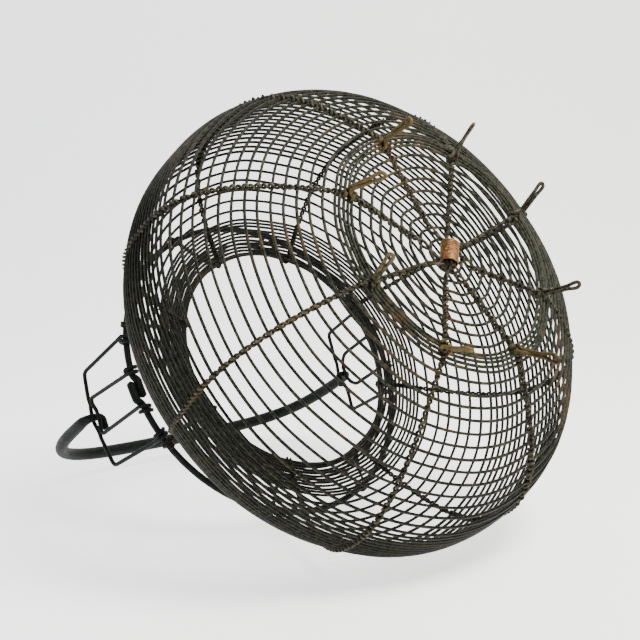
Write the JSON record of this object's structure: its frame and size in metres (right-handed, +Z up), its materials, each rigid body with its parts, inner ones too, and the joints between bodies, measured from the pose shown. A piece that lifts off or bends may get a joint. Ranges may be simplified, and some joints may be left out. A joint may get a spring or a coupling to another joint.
{
  "type": "fruit picker basket",
  "caption": "Round wire fruit picking basket with twisted ribs, hairpin feet, a narrow neck, a flared rim hoop and a swinging bail handle between wire ears.",
  "frame": {"origin": "on the ground under the centre of the belly, with the basket standing on its feet", "axes": "+Z up, from the base to the mouth; the two ears and the bail's hinge line lie along X; the mouth leans a little towards +Y"},
  "size_m": [0.352, 0.3521, 0.4262],
  "materials": {
    "net_wire": "weathered",
    "rib_wire": "rusted",
    "foot_wire": "rusted",
    "black_iron": "satin",
    "binding_wire": "rusted"
  },
  "bodies": {
    "basket": {"base_hoops_inner": "net_wire", "base_hoops_outer": "net_wire", "heel_hoops": "net_wire", "lower_wall_hoops": "net_wire", "upper_wall_hoops": "net_wire", "lower_belly_hoops": "net_wire", "upper_belly_hoops": "net_wire", "lower_shoulder_hoops": "net_wire", "upper_shoulder_hoops": "net_wire", "lower_neck_hoops": "net_wire", "neck_hoops": "net_wire", "upper_neck_hoops": "net_wire", "collar_hoops": "net_wire", "rib_1": "rib_wire", "rib_2": "rib_wire", "rib_3": "rib_wire", "rib_4": "rib_wire", "rib_5": "rib_wire", "rib_6": "rib_wire", "rib_7": "rib_wire", "rib_8": "rib_wire", "rib_bundle": "rib_wire", "centre_binding": "binding_wire", "foot_1": "foot_wire", "foot_2": "foot_wire", "foot_3": "foot_wire", "foot_4": "foot_wire", "foot_5": "foot_wire", "foot_6": "foot_wire", "foot_7": "foot_wire", "foot_8": "foot_wire", "rim_hoop": "black_iron", "ear_outer_wire_right": "black_iron", "ear_inner_wire_right": "black_iron", "ear_outer_wire_left": "black_iron", "ear_inner_wire_left": "black_iron"},
    "bail": {"bail": "black_iron"}
  },
  "joints": [
    {"name": "bail_swing", "type": "hinge", "parent": "basket", "child": "bail", "pos_m": [0, 0.015, 0.316], "axis": [1, 0, 0], "range_deg": [-124, 124]}
  ]
}
